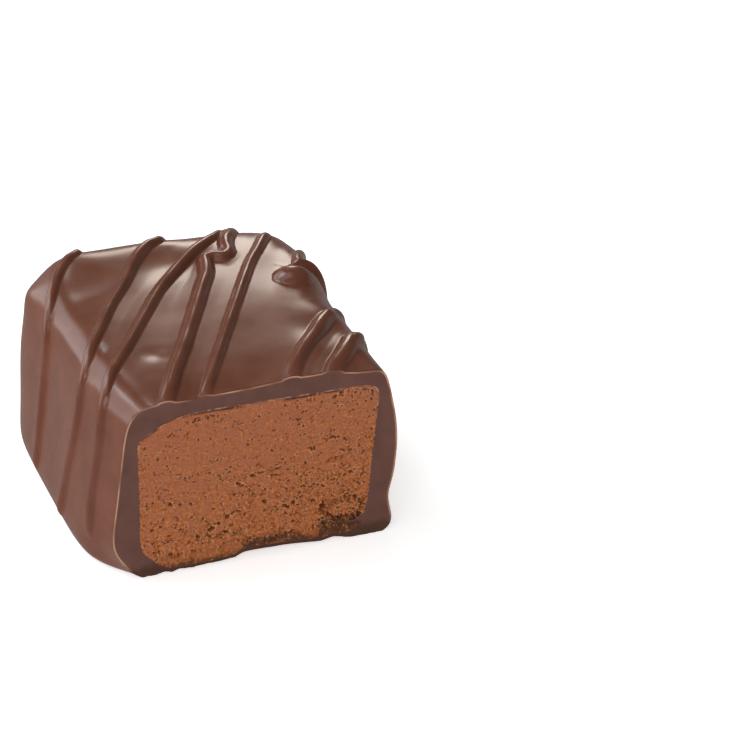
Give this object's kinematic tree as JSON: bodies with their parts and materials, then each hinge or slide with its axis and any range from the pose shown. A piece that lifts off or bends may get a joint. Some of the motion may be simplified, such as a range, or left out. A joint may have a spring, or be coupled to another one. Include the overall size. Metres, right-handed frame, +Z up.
{
  "type": "chocolate meltaway",
  "caption": "Square chocolate cut open with a knife: a crumbly soft centre in a thick milk chocolate coating with slanting lines of drizzle over the top and down the walls.",
  "frame": {"origin": "on the floor under the middle of the piece's bounding box", "axes": "+Z up; the cut face looks along -Y, and +X is to the right when facing it"},
  "size_m": [0.0275, 0.0281, 0.0176],
  "materials": {
    "milk_chocolate": "satin gloss outside, matte where the knife cut it",
    "crumbly_centre": "matte, finely pitted crumb"
  },
  "bodies": {
    "root": {"coating": "milk_chocolate", "meltaway_centre": "crumbly_centre"}
  },
  "joints": []
}
